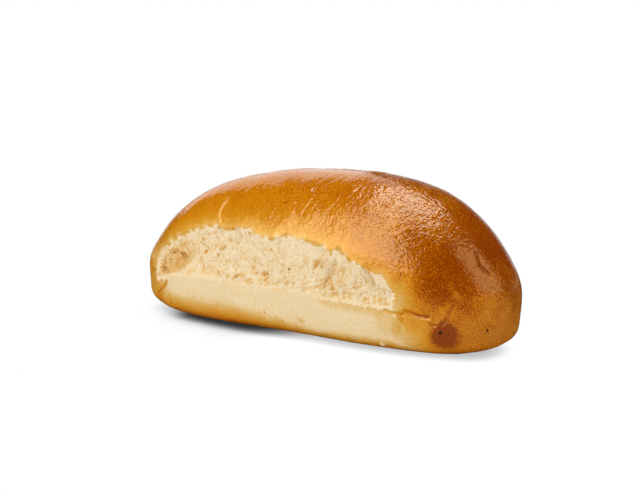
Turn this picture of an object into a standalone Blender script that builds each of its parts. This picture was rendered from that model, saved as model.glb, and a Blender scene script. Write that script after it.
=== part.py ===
"""Hot dog bun: one loaf of soft white bread that was baked against its neighbours.

The dome and both ends are browned crust. On each long side the crust is torn away, where the
bun was pulled off the next one, and a recessed face of bare crumb shows over a pale smooth skirt.
Metres, +Z up. The bun lies along X with its flat base on Z = 0, and -Y is the side torn widest.
"""

import math

import bmesh
import bpy
from mathutils import Vector, noise

MM = 0.001

# The loaf.
LENGTH = 150 * MM
WIDTH = 58 * MM
HEIGHT = 57.5 * MM
BELT = 13 * MM                  # height of the widest line round the loaf
SQUARENESS = {-1: 3.3, 1: 2.65}  # of the plan at the -X and the +X end; 2 is an ellipse
DOME_SQUARENESS = 2.2
FOOT_SQUARENESS = 4.6
CROWN_TILT = 0.09               # the dome grows by this share towards +X
END_TAPER = 0.05                # the width shrinks by this share towards +X
SIDE_BOW = 0.6 * MM             # the ends curve towards -Y
BASE_CUT = 0.6 * MM             # what the flat base takes off the foot
FOOT_LIFT = 2.5 * MM            # the foot's edge curls up from the table along -Y
FOOT_LIFT_AT = 8 * MM
FOOT_LIFT_REACH = 50 * MM

# The mesh: cells of about this size on the crust, and half of it on the torn faces.
CELL = 2.75 * MM
FOOT_CELL = 1.9 * MM            # height of the cells below the belt, where the skin turns under
SNAP = 0.42 * CELL              # a grid point this near a torn outline moves onto it
FOLDED = 60                     # unless a cell would turn this many degrees off the skin
SLIVER = 0.3 * MM * MM          # or would keep no more area than this
OUTLINE_STEPS = 220             # points along the arch, and as many along the sill
SHARP_EDGE = 40                 # degrees
NUDGE = 0.1 * MM                # step over which the skin's slope is measured

# The torn faces, one on each long side. Each is an arch over a level sill.
TORN_SIDES = {
    -1: {
        "far": -63 * MM,
        "near": 44.5 * MM,
        "crown_at": -13 * MM,
        "crown": 37 * MM,
        "sill": 17.8 * MM,
        "dips": [(-8 * MM, 5 * MM, 2.4 * MM), (32.5 * MM, 4.5 * MM, 1.8 * MM)],
    },
    1: {
        "far": -50.5 * MM,
        "near": 57 * MM,
        "crown_at": 10 * MM,
        "crown": 35.5 * MM,
        "sill": 17.4 * MM,
        "dips": [(22 * MM, 6 * MM, 2.0 * MM), (-30 * MM, 4 * MM, 1.6 * MM)],
    },
}
FAR_ARCH = (3.8, 1.2)           # how full the arch is towards -X: along, up
NEAR_ARCH = (1.7, 2.6)          # and towards +X
SILL_DROOP = 2.8 * MM           # how far the sill falls in half a loaf's length from the crown
SILL_WAVE = 0.5 * MM
SILL_WAVE_SIZE = 9 * MM
BLUNT_END = 3.5 * MM            # the torn face stops where it is no higher than this
RAGGED = 0.9 * MM               # how far the torn edge of the crust strays
RAGGED_SIZE = 5 * MM
LIP_WALL = 0.35 * MM            # plan width of the step down from the crust to the crumb
LIP_DEPTH = 1.3 * MM
LEDGE = 7 * MM                  # above the sill, the crumb sinks to full depth over this height
SILL_ROUGH = 0.2                # share of the roughness left at the sill itself
CRUMB_ROUGHNESS = 0.35 * MM
CRUMB_LUMP = 3.2 * MM
LUMP_OCTAVES = (0.6, 2.0, 3)    # fractal increment, lacunarity, octaves

# Hollows and gouges in the torn faces: centre x, height, half length, half width, lean, depth.
# The lean is the angle of the length above +X, in degrees.
HOLLOW_FALL = 1.2               # how sharply a hollow ends past its half length and half width
HOLLOWS = {
    -1: [
        (-50.5 * MM, 21.5 * MM, 10 * MM, 4.6 * MM, 35, 2.8 * MM),
        (20.8 * MM, 26.0 * MM, 5.5 * MM, 1.7 * MM, 78, 1.9 * MM),
        (30.0 * MM, 24.2 * MM, 3.5 * MM, 1.4 * MM, 84, 1.0 * MM),
        (35.0 * MM, 25.8 * MM, 4.0 * MM, 1.2 * MM, -48, 1.2 * MM),
        (-29.5 * MM, 33.5 * MM, 2.2 * MM, 1.8 * MM, 0, 1.2 * MM),
        (-21.5 * MM, 33.8 * MM, 2.4 * MM, 2.0 * MM, 0, 1.2 * MM),
    ],
    1: [
        (44.0 * MM, 22.0 * MM, 9 * MM, 4.2 * MM, -28, 2.4 * MM),
        (-24.0 * MM, 25.0 * MM, 5.0 * MM, 1.7 * MM, 70, 1.7 * MM),
        (-12.0 * MM, 29.0 * MM, 3.5 * MM, 1.5 * MM, 100, 1.1 * MM),
        (18.0 * MM, 31.0 * MM, 2.4 * MM, 1.9 * MM, 0, 1.2 * MM),
    ],
}

# The browned crust.
SWELL = 0.35 * MM               # slow unevenness of the whole loaf
SWELL_SIZE = 26 * MM
WRINKLE = 0.28 * MM             # shallow folds that run across the dome
WRINKLE_SIZE = 6.5 * MM
WRINKLE_STRETCH = 5.0           # how much longer they are than wide

# Bulges and dents in the crust: the middle of each, its radius and its height.
KNOBS = [
    (Vector((74 * MM, -6 * MM, 20 * MM)), 12 * MM, 0.9 * MM),
    (Vector((-70 * MM, -17 * MM, 20 * MM)), 5 * MM, 0.9 * MM),
    (Vector((-64 * MM, -20 * MM, 31 * MM)), 8 * MM, -0.7 * MM),
    (Vector((62 * MM, -20 * MM, 10 * MM)), 7 * MM, 0.6 * MM),
    (Vector((-72 * MM, 12 * MM, 14 * MM)), 8 * MM, 0.7 * MM),
    (Vector((66 * MM, 17 * MM, 22 * MM)), 7 * MM, -0.6 * MM),
]

# Pinched creases in the crust past the ends of the sill, each from (x, z) to (x, z).
CREASE_DEPTH = 0.8 * MM
CREASE_WIDTH = 1.9 * MM
CREASE_FROM = 0.2 * WIDTH       # only points this far off the middle line are pinched
CREASES = {
    -1: [
        ((41.5 * MM, 16.4 * MM), (57.5 * MM, 14.2 * MM)),
        ((-54.5 * MM, 13.6 * MM), (-61 * MM, 8.5 * MM)),
    ],
    1: [((-49 * MM, 15.5 * MM), (-62 * MM, 12.5 * MM))],
}

# Places in the noise, so that the two sides and the several kinds of unevenness differ.
SIDE_SHIFT = {-1: Vector((0, -50 * MM, 0)), 1: Vector((0, 50 * MM, 0))}
SILL_SEED = {-1: Vector((0, -3.1, 0.7)), 1: Vector((0, 3.1, 0.7))}
ARCH_SEED = {-1: Vector((0, -8.4, 2.2)), 1: Vector((0, 8.4, 2.2))}
FOLD_SEED = Vector((7.3, 1.9, 4.4))

CRUST = 0                       # the materials' places in the list
CRUMB = 1
CRUST_COLOUR = (0.44, 0.16, 0.02, 1.0)
CRUMB_COLOUR = (0.80, 0.62, 0.36, 1.0)


def remove_everything():
    for thing in list(bpy.data.objects):
        bpy.data.objects.remove(thing, do_unlink=True)


def material(name, colour, roughness):
    made = bpy.data.materials.new(name)
    made.use_nodes = True
    shader = made.node_tree.nodes["Principled BSDF"]
    shader.inputs["Base Color"].default_value = colour
    shader.inputs["Roughness"].default_value = roughness
    shader.inputs["Metallic"].default_value = 0.0
    return made


def power_mean(a, b, power):
    return (abs(a) ** power + abs(b) ** power) ** (1 / power)


def squareness(x):
    return SQUARENESS[1 if x > 0 else -1]


def dome_height(share_along):
    """Height of the dome above the belt, which grows towards +X."""
    return (HEIGHT - BELT) * (1 + CROWN_TILT * share_along)


def bent(x, y, z):
    """The plain loaf's point (x, y), narrowed and bowed as the real loaf is."""
    along = 2 * x / LENGTH
    y *= 1 - END_TAPER * along
    y -= SIDE_BOW * along ** 2
    return Vector((x, y, z))


def loaf_point(u, v, w):
    """The point of the loaf's skin under the point (u, v, w) of a block from -1 to 1."""
    plan = power_mean(u, v, squareness(u))
    power = DOME_SQUARENESS if w > 0 else FOOT_SQUARENESS
    shrink = 1 / power_mean(plan, w, power)
    along = u * shrink
    rise = dome_height(along) if w > 0 else BELT + BASE_CUT
    return bent(along * LENGTH / 2, v * shrink * WIDTH / 2, BELT + w * shrink * rise)


def flank_point(x, z, side):
    """The point of the loaf's skin at (x, z) on one long side."""
    along = 2 * x / LENGTH
    if z > BELT:
        up = (z - BELT) / dome_height(along)
        power = DOME_SQUARENESS
    else:
        up = (BELT - z) / (BELT + BASE_CUT)
        power = FOOT_SQUARENESS
    plan = max(1 - min(up, 1) ** power, 0) ** (1 / power)
    corner = squareness(x)
    across = max(plan ** corner - abs(along) ** corner, 0) ** (1 / corner)
    return bent(x, side * across * WIDTH / 2, z)


def flank_normal(x, z, side):
    """The outward direction of the loaf's skin at (x, z) on one long side."""
    here = flank_point(x, z, side)
    along = flank_point(x + NUDGE, z, side) - here
    up = flank_point(x, z + NUDGE, side) - here
    return (along.cross(up) * -side).normalized()


def stations(half_span, edge, power):
    """Cuts of the block that land evenly along half_span of skin, with the block's edge last."""
    count = round(half_span * edge / CELL)
    cuts = [edge * k / count for k in range(1, count)]
    inner = [s / (1 - s ** power) ** (1 / power) for s in cuts]
    return [-s for s in reversed(inner)] + [0.0] + inner


def rows():
    """Level cuts of the block, evenly spaced up the flank, below and above the belt."""
    cuts = [0.0]
    foot = (-1, BELT, FOOT_SQUARENESS, FOOT_CELL)
    dome = (1, HEIGHT - BELT, DOME_SQUARENESS, CELL)
    for sign, height, power, cell in (foot, dome):
        edge = 2 ** (-1 / power)
        count = round(height * edge / cell)
        shares = [edge * k / count for k in range(1, count)]
        cuts += [sign * s / (1 - s ** power) ** (1 / power) for s in shares]
    return cuts


def gridded_block():
    """A closed block from -1 to 1, cut into a grid."""
    block = bmesh.new()
    bmesh.ops.create_cube(block, size=2.0)
    power = (SQUARENESS[-1] + SQUARENESS[1]) / 2
    edge = 2 ** (-1 / power)
    cuts = [
        (Vector((1, 0, 0)), stations(LENGTH / 2, edge, power)),
        (Vector((0, 1, 0)), stations(WIDTH / 2, edge, power)),
        (Vector((0, 0, 1)), rows()),
    ]
    for normal, places in cuts:
        for place in places:
            all_of_it = block.verts[:] + block.edges[:] + block.faces[:]
            bmesh.ops.bisect_plane(
                block, geom=all_of_it, dist=1e-6, plane_co=normal * place, plane_no=normal
            )
    return block


def sill(x, side):
    """Height of the torn face's lower edge."""
    drift = noise.noise(Vector((x / SILL_WAVE_SIZE, 0, 0)) + SILL_SEED[side])
    droop = SILL_DROOP * (2 * (x - TORN_SIDES[side]["crown_at"]) / LENGTH) ** 2
    return TORN_SIDES[side]["sill"] - droop + SILL_WAVE * drift


def arch(x, side):
    """Height of the torn face's upper edge, or None past its ends."""
    face = TORN_SIDES[side]
    towards_near = x > face["crown_at"]
    end = face["near"] if towards_near else face["far"]
    share = (x - face["crown_at"]) / (end - face["crown_at"])
    if share >= 1:
        return None
    along, up = NEAR_ARCH if towards_near else FAR_ARCH
    rise = (face["crown"] - face["sill"]) * (1 - share ** along) ** (1 / up)
    if rise < BLUNT_END:
        return None
    stray = RAGGED * noise.noise(Vector((x / RAGGED_SIZE, 0, 0)) + ARCH_SEED[side])
    dip = sum(drop * math.exp(-((x - at) / reach) ** 2) for at, reach, drop in face["dips"])
    return face["sill"] + rise + stray - dip


def torn_outline(side):
    """The closed outline of a torn face as (x, z) points, closest together at its ends."""
    face = TORN_SIDES[side]
    middle = (face["near"] + face["far"]) / 2
    half = (face["near"] - face["far"]) / 2
    turn = [math.cos(math.pi * (k + 0.5) / OUTLINE_STEPS) for k in range(OUTLINE_STEPS)]
    across = [middle + half * c for c in turn if arch(middle + half * c, side)]
    top = [(x, arch(x, side)) for x in across]
    bottom = [(x, sill(x, side)) for x in reversed(across)]
    return top + bottom


def nearest_on(outline, x, z):
    """The nearest point of a closed outline to (x, z), and its distance."""
    best = None
    for (ax, az), (bx, bz) in zip(outline, outline[1:] + outline[:1]):
        dx = bx - ax
        dz = bz - az
        length2 = dx * dx + dz * dz
        share = ((x - ax) * dx + (z - az) * dz) / length2 if length2 > 0 else 0
        share = min(max(share, 0), 1)
        px = ax + share * dx
        pz = az + share * dz
        distance = math.hypot(x - px, z - pz)
        if best is None or distance < best[2]:
            best = (px, pz, distance)
    return best


def is_folded(vert, side):
    """Whether a cell round this point has turned over or collapsed."""
    least = math.cos(math.radians(FOLDED))
    inward = -flank_normal(vert.co.x, vert.co.z, side)
    for cell in vert.link_faces:
        if cell.calc_area() < SLIVER:
            return True
        # The normal of a cell's corner points into the loaf.
        if any(corner.calc_normal().dot(inward) < least for corner in cell.loops):
            return True
    return False


def snap(vert, outline, side, reach):
    """Slides a point along the skin onto the torn outline, if that is near and folds no cell."""
    x, z, distance = nearest_on(outline, vert.co.x, vert.co.z)
    if distance > reach:
        return False
    before = vert.co.copy()
    vert.co = flank_point(x, z, side)
    if is_folded(vert, side):
        vert.co = before
        return False
    return True


def is_torn(x, z, side):
    top = arch(x, side)
    return top is not None and sill(x, side) < z < top


def shape_loaf(block):
    """Moves the block's points out to the loaf's skin."""
    for vert in block.verts:
        u, v, w = vert.co
        vert.co = loaf_point(u, v, w)


def fit_outline(loaf, side, outline):
    """Brings cell corners onto a torn outline and splits the cells that it runs across."""
    flank = [vert for vert in loaf.verts if vert.co.y * side > 0 and vert.co.z > BELT]
    fitted = {vert for vert in flank if snap(vert, outline, side, SNAP)}
    for vert in flank:
        if vert in fitted or not is_torn(vert.co.x, vert.co.z, side):
            continue
        outside = [edge.other_vert(vert) for edge in vert.link_edges]
        outside = [other for other in outside if other not in fitted]
        if any(not is_torn(other.co.x, other.co.z, side) for other in outside):
            if snap(vert, outline, side, CELL):
                fitted.add(vert)
    for cell in list(loaf.faces):
        corners = [corner for corner in cell.loops if corner.vert in fitted]
        if len(cell.loops) == 4 and len(corners) == 2:
            first, second = corners
            if first.link_loop_next.link_loop_next is second:
                bmesh.utils.face_split(cell, first.vert, second.vert)


def lift_foot(loaf):
    """Curls the foot up along -Y and trims the base flat."""
    for vert in loaf.verts:
        x, y, z = vert.co
        outward = min(max(-2 * y / WIDTH, 0), 1) ** 2
        low = min(max(1 - z / BELT, 0), 1)
        along = math.exp(-((x - FOOT_LIFT_AT) / FOOT_LIFT_REACH) ** 2)
        vert.co.z = max(z + FOOT_LIFT * outward * low * along, 0)


def torn_cells(loaf, side):
    """The cells inside the torn outline of one side."""
    found = []
    for cell in loaf.faces:
        x, y, z = cell.calc_center_median()
        if y * side > 0 and is_torn(x, z, side):
            found.append(cell)
    return found


def tear(loaf, side):
    """Splits the torn cells finer, steps them in behind the crust and roughens them."""
    outline = torn_outline(side)
    fit_outline(loaf, side, outline)
    cells = torn_cells(loaf, side)
    for cell in cells:
        cell.material_index = CRUMB
    edges = list({edge for cell in cells for edge in cell.edges})
    split = bmesh.ops.subdivide_edges(loaf, edges=edges, cuts=1, use_grid_fill=True)
    border = []
    for new in split["geom_inner"]:
        if isinstance(new, bmesh.types.BMVert):
            new.co = flank_point(new.co.x, new.co.z, side)
            if any(cell.material_index != CRUMB for cell in new.link_faces):
                border.append(new)
    for vert in border:
        snap(vert, outline, side, SNAP)
    loaf.normal_update()
    cells = [cell for cell in loaf.faces if cell.material_index == CRUMB]
    cells = [cell for cell in cells if cell.calc_center_median().y * side > 0]
    ring = bmesh.ops.inset_region(
        loaf, faces=cells, thickness=LIP_WALL, depth=0.0, use_even_offset=False
    )
    for wall in ring["faces"]:
        wall.material_index = CRUST
    for vert in {vert for cell in cells for vert in cell.verts}:
        x, _, z = vert.co
        vert.co -= flank_normal(x, z, side) * crumb_depth(x, z, side)


def crumb_depth(x, z, side):
    """How far the crumb lies behind the loaf's skin."""
    over_sill = (z - sill(x, side)) / LEDGE
    ease = min(max(over_sill, 0), 1)
    ease = ease * ease * (3 - 2 * ease)
    depth = LIP_DEPTH * ease
    for centre_x, centre_z, length, width, lean, deep in HOLLOWS[side]:
        cosine = math.cos(math.radians(lean))
        sine = math.sin(math.radians(lean))
        dx = x - centre_x
        dz = z - centre_z
        along = (dx * cosine + dz * sine) / length
        across = (dz * cosine - dx * sine) / width
        depth += deep * math.exp(-HOLLOW_FALL * (along ** 2 + across ** 2) ** 1.5)
    lumps = noise.fractal((Vector((x, 0, z)) + SIDE_SHIFT[side]) / CRUMB_LUMP, *LUMP_OCTAVES)
    return depth + CRUMB_ROUGHNESS * lumps * min(over_sill + SILL_ROUGH, 1)


def crease_depth(x, z, side):
    """Depth of the pinched creases at (x, z) on one long side."""
    deepest = 0.0
    for start, end in CREASES[side]:
        run = Vector(end) - Vector(start)
        here = Vector((x, z)) - Vector(start)
        share = min(max(here.dot(run) / run.length_squared, 0), 1)
        away = (here - run * share).length
        deepest = max(deepest, CREASE_DEPTH * math.exp(-(away / CREASE_WIDTH) ** 2))
    return deepest


def swelling(point):
    """Slow unevenness of the whole loaf, with its bulges and dents."""
    height = SWELL * noise.noise(point / SWELL_SIZE)
    for middle, radius, knob in KNOBS:
        height += knob * math.exp(-((point - middle).length / radius) ** 2)
    return height


def folds(point):
    """Shallow folds that run across the dome and fade out at the belt."""
    over_belt = min(max((point.z - BELT) / (HEIGHT - BELT), 0), 1)
    long_way = WRINKLE_SIZE * WRINKLE_STRETCH
    spot = Vector((point.x / WRINKLE_SIZE, point.y / long_way, point.z / long_way))
    return WRINKLE * over_belt * noise.noise(spot + FOLD_SEED)


def relief(loaf):
    """Swells the whole loaf over its flat base, and folds and creases its crust."""
    loaf.normal_update()
    crumb_cells = [cell for cell in loaf.faces if cell.material_index == CRUMB]
    crumb = {vert for cell in crumb_cells for vert in cell.verts}
    torn = crumb | {edge.other_vert(vert) for vert in crumb for edge in vert.link_edges}
    moves = []
    for vert in loaf.verts:
        x, y, z = vert.co
        if z < BASE_CUT:
            continue
        side = -1 if y < 0 else 1
        if vert in torn:
            move = Vector((0, side * swelling(vert.co), 0))
        else:
            pinch = crease_depth(x, z, side) if abs(y) > CREASE_FROM else 0
            move = vert.normal * (swelling(vert.co) + folds(vert.co) - pinch)
        moves.append((vert, move))
    for vert, move in moves:
        vert.co += move
        vert.co.z = max(vert.co.z, 0)


def centre_on_base(loaf):
    """Puts the middle of the loaf's box over the origin, with the base at Z = 0."""
    xs = [vert.co.x for vert in loaf.verts]
    ys = [vert.co.y for vert in loaf.verts]
    shift = Vector((-(min(xs) + max(xs)) / 2, -(min(ys) + max(ys)) / 2, 0))
    bmesh.ops.translate(loaf, vec=shift, verts=loaf.verts[:])


def bun():
    loaf = gridded_block()
    shape_loaf(loaf)
    lift_foot(loaf)
    for side in TORN_SIDES:
        tear(loaf, side)
    relief(loaf)
    centre_on_base(loaf)
    mesh = bpy.data.meshes.new("bun")
    loaf.to_mesh(mesh)
    loaf.free()
    mesh.materials.append(material("browned crust", CRUST_COLOUR, 0.35))
    mesh.materials.append(material("bare crumb", CRUMB_COLOUR, 0.9))
    mesh.shade_smooth()
    mesh.set_sharp_from_angle(angle=math.radians(SHARP_EDGE))
    made = bpy.data.objects.new("bun", mesh)
    bpy.context.scene.collection.objects.link(made)
    return made


remove_everything()
bun()
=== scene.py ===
"""A hot dog bun, baked in a batch and pulled off its neighbours."""

import math

import bpy
import numpy as np
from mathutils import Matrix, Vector, kdtree, noise


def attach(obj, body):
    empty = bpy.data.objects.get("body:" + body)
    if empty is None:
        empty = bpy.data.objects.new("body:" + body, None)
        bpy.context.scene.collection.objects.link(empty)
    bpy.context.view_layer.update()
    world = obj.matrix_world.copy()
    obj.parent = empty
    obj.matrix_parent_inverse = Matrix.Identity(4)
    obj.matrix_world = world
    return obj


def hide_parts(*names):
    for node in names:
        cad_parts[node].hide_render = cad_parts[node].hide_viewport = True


MM = 0.001

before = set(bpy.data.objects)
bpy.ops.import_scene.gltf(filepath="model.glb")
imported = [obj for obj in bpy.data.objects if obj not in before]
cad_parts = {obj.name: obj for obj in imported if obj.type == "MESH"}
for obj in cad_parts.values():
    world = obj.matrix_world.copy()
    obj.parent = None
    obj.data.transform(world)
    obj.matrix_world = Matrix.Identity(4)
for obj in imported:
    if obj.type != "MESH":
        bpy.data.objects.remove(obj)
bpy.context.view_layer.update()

# The loaf: soft white dough that rose in the oven against a bun on either side. Its shape is the
# CAD solid's, merged, turned back into quads and subdivided finely enough to carry bread's texture.

MERGE_WITHIN = 0.01 * MM
NEARLY_FLAT = math.radians(50)          # triangles that meet flatter than this become a quad
ROUNDINGS = 2

loaf = bpy.data.objects.new("bread_loaf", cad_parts["bun"].data.copy())
bpy.context.scene.collection.objects.link(loaf)
loaf.data.materials.clear()
bpy.ops.object.select_all(action="DESELECT")
loaf.select_set(True)
bpy.context.view_layer.objects.active = loaf
bpy.ops.object.mode_set(mode="EDIT")
bpy.ops.mesh.select_all(action="SELECT")
bpy.ops.mesh.customdata_custom_splitnormals_clear()
bpy.ops.mesh.remove_doubles(threshold=MERGE_WITHIN)
bpy.ops.mesh.tris_convert_to_quads(face_threshold=NEARLY_FLAT, shape_threshold=NEARLY_FLAT)
bpy.ops.object.mode_set(mode="OBJECT")
rounding = loaf.modifiers.new("rounding", "SUBSURF")
rounding.levels = ROUNDINGS
rounding.render_levels = ROUNDINGS
bpy.ops.object.modifier_apply(modifier=rounding.name)
bpy.ops.object.shade_smooth()

# The creases and cracks where the crust folded or split: points along each in mm, half width,
# depth, and how much darker (or paler, below 0) it is: painted shade down a groove or crack,
# painted highlight along a raised lip or thread, and the brown patch's own browning. The mesh is
# made finer along them.

FINE_BAND = 2.4                         # mm either side of a crease
CREASES = [
    # past the near end of the sill: two creases, their lower lip, the hooked end and a faint mark
    ([(41.4, -25.8, 16.2), (44.2, -25.4, 15.4), (47.7, -24.6, 15.2)], 0.45, 0.45, 0.22),
    ([(48.3, -24.5, 16.4), (51.1, -23.8, 15.7), (53.1, -23.2, 15.1), (55.6, -22.4, 15.1)],
     0.50, 0.60, 0.30),
    ([(49.5, -24.2, 14.6), (53.1, -23.2, 14.1), (55.6, -22.5, 14.2)], 0.50, -0.12, -0.14),
    ([(56.2, -22.2, 15.6), (56.5, -22.2, 14.1)], 0.45, -0.22, -0.18),
    ([(56.3, -22.2, 13.0), (57.6, -21.7, 12.4)], 0.50, 0.25, 0.12),
    # the flap of skin over the brown stain: its line, its ridge and its tip
    ([(59.6, -21.0, 12.6), (60.7, -20.5, 14.2), (61.7, -19.9, 16.8), (62.9, -19.2, 19.6)],
     0.45, 0.40, 0.16),
    ([(58.9, -21.3, 13.0), (60.2, -20.7, 16.0), (61.9, -19.8, 19.6)], 1.00, -0.20, -0.07),
    ([(61.8, -19.1, 24.0), (63.0, -18.7, 22.9), (63.9, -18.4, 21.8)], 0.50, -0.34, -0.20),
    # the angular pale patch below the first crease: its two edges and its middle
    ([(44.8, -25.2, 14.7), (46.4, -24.9, 12.5), (47.9, -24.6, 10.4)], 0.50, -0.20, -0.22),
    ([(46.2, -25.0, 14.2), (47.2, -24.7, 12.9)], 1.10, 0.08, 0.12),
    ([(48.6, -24.4, 14.6), (48.1, -24.5, 11.8)], 0.50, -0.12, -0.14),
    # past the far end of the sill: the fold, the brown patch in it, a mark below and a bump
    ([(-54.4, -26.6, 14), (-57.4, -25.8, 11.2), (-61.2, -24.4, 8.6)], 0.45, 0.60, 0.26),
    ([(-55.2, -26.4, 12.8), (-56.2, -26.1, 11.8)], 0.80, 0.10, 0.14),
    ([(-53.3, -26.8, 9.6), (-52.4, -26.9, 7.9), (-52.5, -26.1, 4.6)], 0.45, 0.35, 0.16),
    ([(-62.6, -23.7, 16.8), (-65.4, -22, 16.9), (-68, -20.2, 16.2)], 0.50, 0.50, 0.14),
    # a bent crack in the glossy near end
    ([(65.9, -10.3, 36), (66.8, -11.3, 33.7), (67.7, -11.9, 31.5)], 0.40, 0.50, 0.25),
    ([(67.7, -11.9, 31.5), (69.2, -10.8, 30), (70.3, -9.9, 28.9)], 0.40, 0.50, 0.25),
    # a raised thread of skin that runs down the dome to the arch
    ([(-29.7, -18.7, 46.9), (-30, -20, 45.4), (-31, -21, 44), (-31, -22.8, 41.3), (-29.6, -24.4, 38.4)],
     0.45, -0.22, -0.10),
    # the shallow valley along the near half of the sill
    ([(19.0, -28.2, 16.5), (22.5, -28.0, 15.8), (26.5, -27.7, 16.2), (31.0, -27.2, 15.4),
      (35.5, -26.6, 15.7), (40.0, -26.0, 15.2)],
     1.20, 0.06, 0.11),
]
TINY = 1e-9


def distance_to_line(points, line):
    """Distance from each point to a broken line."""
    nearest = np.full(len(points), np.inf)
    for start, end in zip(np.array(line[:-1], float), np.array(line[1:], float)):
        run = end - start
        here = points - start
        share = np.clip(here @ run / max(run @ run, TINY), 0, 1)
        away = here - share[:, None] * run
        nearest = np.minimum(nearest, (away ** 2).sum(1))
    return np.sqrt(nearest)


def vectors_of(things, name):
    """A vector kept on each vertex or face, one row each."""
    values = np.empty(len(things) * 3)
    things.foreach_get(name, values)
    return values.reshape(-1, 3)


centres = vectors_of(loaf.data.polygons, "center") / MM
fine = np.zeros(len(centres), dtype=bool)
for line, _, _, _ in CREASES:
    fine |= distance_to_line(centres, line) < FINE_BAND
bpy.ops.object.mode_set(mode="EDIT")
bpy.ops.mesh.select_mode(type="FACE")
bpy.ops.mesh.select_all(action="DESELECT")
bpy.ops.object.mode_set(mode="OBJECT")
loaf.data.polygons.foreach_set("select", fine)
bpy.ops.object.mode_set(mode="EDIT")
bpy.ops.mesh.subdivide(number_cuts=1, smoothness=0)
bpy.ops.object.mode_set(mode="OBJECT")
bpy.ops.object.shade_smooth()

spots = vectors_of(loaf.data.vertices, "co") / MM
outward = vectors_of(loaf.data.vertices, "normal")
count = len(spots)


def on_loaf(places):
    """The loaf's own points nearest to some places read off the photograph."""
    return np.array([spots[((spots - place) ** 2).sum(1).argmin()] for place in np.array(places, float)])


# Where the loaf was joined to its neighbours: an arch of torn crumb over a skirt of skin that
# never saw the oven's heat. The outlines are in mm, looking straight at each long side.

HALF_LENGTH = 75
LOAF_SHIFT = 0.13               # the CAD solid is centred on its box, this much towards -X
JOINS = {                       # a dip in the arch has its middle, half width and depth
    -1: {
        "far": -63,
        "near": 44.5,
        "crown_at": -13,
        "crown": 36.4,
        "sill": 17.8,
        "far_droop": 3.4,
        "dips": [(-8, 5, 1.9), (14, 5, 0.7), (32.5, 4.5, 1.8)],
    },
    1: {
        "far": -50.5,
        "near": 57,
        "crown_at": 10,
        "crown": 35.5,
        "sill": 17.4,
        "far_droop": 0,
        "dips": [(22, 6, 2.0), (-30, 4, 1.6)],
    },
}
FAR_ARCH = (3.2, 1.2)           # how square the arch is along its far half, and up it
NEAR_ARCH = (1.7, 2.6)
LEAST_RISE = 3.5
OUTLINE_STEPS = 400
SILL_DROOP = 2.8                # half a length away from the crown
FAR_TURN = (-48, -62)           # where the far end's own droop begins and is full
SILL_WANDER = (9, (3.1, 0.7), 0.5)
ARCH_WANDERS = [(5, (8.4, 2.2), 0.9), (1.5, (5.2, 1.4), 2.2)]
UNDER_THE_FLOOR = -20
FAR_OUTSIDE = -99.0
FLAT_TOPPED = 4                 # the power that gives a hump a flat top


def smooth(values, start, end):
    """0 at start, 1 at end, eased."""
    share = np.clip((values - start) / (end - start), 0, 1)
    return share * share * (3 - 2 * share)


def hump(away, half_width, power=2):
    """1 in the middle, and fading out past a half width; flatter on top for a higher power."""
    return np.exp(-(away / half_width) ** power)


def wander(x, side, length, seed, height):
    """A soft stray up and down along a line, with its length and height in mm."""
    return height * noise.noise(Vector((x / length, seed[0] * side, seed[1])))


def sill(x, side):
    """Height of the tear's lower edge."""
    join = JOINS[side]
    droop = SILL_DROOP * ((x - join["crown_at"]) / HALF_LENGTH) ** 2
    droop += join["far_droop"] * float(smooth(x, *FAR_TURN))
    return join["sill"] - droop + wander(x, side, *SILL_WANDER)


def arch(x, side):
    """Height of the tear's upper edge, or None past its ends."""
    join = JOINS[side]
    towards_near = x > join["crown_at"]
    end = join["near"] if towards_near else join["far"]
    share = (x - join["crown_at"]) / (end - join["crown_at"])
    if share >= 1:
        return None
    along, up = NEAR_ARCH if towards_near else FAR_ARCH
    rise = (join["crown"] - join["sill"]) * (1 - share ** along) ** (1 / up)
    if rise < LEAST_RISE:
        return None
    stray = sum(wander(x, side, *each) for each in ARCH_WANDERS)
    dip = sum(drop * hump(x - at, reach) for at, reach, drop in join["dips"])
    return join["sill"] + rise + stray - dip


def arch_points(side):
    """Points along the arch, closer together towards its steep ends."""
    join = JOINS[side]
    middle = (join["near"] + join["far"]) / 2
    half = (join["near"] - join["far"]) / 2
    turns = np.pi * (np.arange(OUTLINE_STEPS) + 0.5) / OUTLINE_STEPS
    heights = [(x, arch(x, side)) for x in middle - half * np.cos(turns)]
    return [(x, height) for x, height in heights if height]


def distance_inside(points, outline):
    """How far each (x, z) point lies inside a closed outline; negative outside."""
    closed = np.array([outline[-1], *outline])
    crossings = np.zeros(len(points), dtype=int)
    for start, end in zip(closed[:-1], closed[1:]):
        straddles = (start[1] > points[:, 1]) != (end[1] > points[:, 1])
        if straddles.any():
            run = end - start
            meets = start[0] + (points[:, 1] - start[1]) * run[0] / run[1]
            crossings += straddles & (points[:, 0] < meets)
    return distance_to_line(points, closed) * np.where(crossings % 2, 1, -1)


def distance_over(chosen):
    """Straight distance in mm from every point of the loaf to the nearest chosen one."""
    tree = kdtree.KDTree(int(chosen.sum()))
    for index, spot in enumerate(spots[chosen]):
        tree.insert(spot, index)
    tree.balance()
    return np.array([tree.find(spot)[2] for spot in spots])


torn = np.full(count, FAR_OUTSIDE)      # distance inside the tear
joined = np.full(count, FAR_OUTSIDE)    # and inside the tear and the skirt together
for side in JOINS:
    here = spots[:, 1] * side > 0
    flat = spots[here][:, [0, 2]] + (LOAF_SHIFT, 0)
    top = arch_points(side)
    bottom = [(x, sill(x, side)) for x, _ in reversed(top)]
    floor_line = [(top[-1][0], UNDER_THE_FLOOR), (top[0][0], UNDER_THE_FLOOR)]
    torn[here] = distance_inside(flat, top + bottom)
    joined[here] = distance_inside(flat, top + floor_line)
from_join = distance_over(joined > 0)

# The torn crumb: a sponge of small cells. It parted in short wavy fibres along the sill, and was
# pulled out into upright threads towards the near end. The far end tore into a hollow. Shade is
# painted into the crumb's low parts, its open cells and the hollow.

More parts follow.
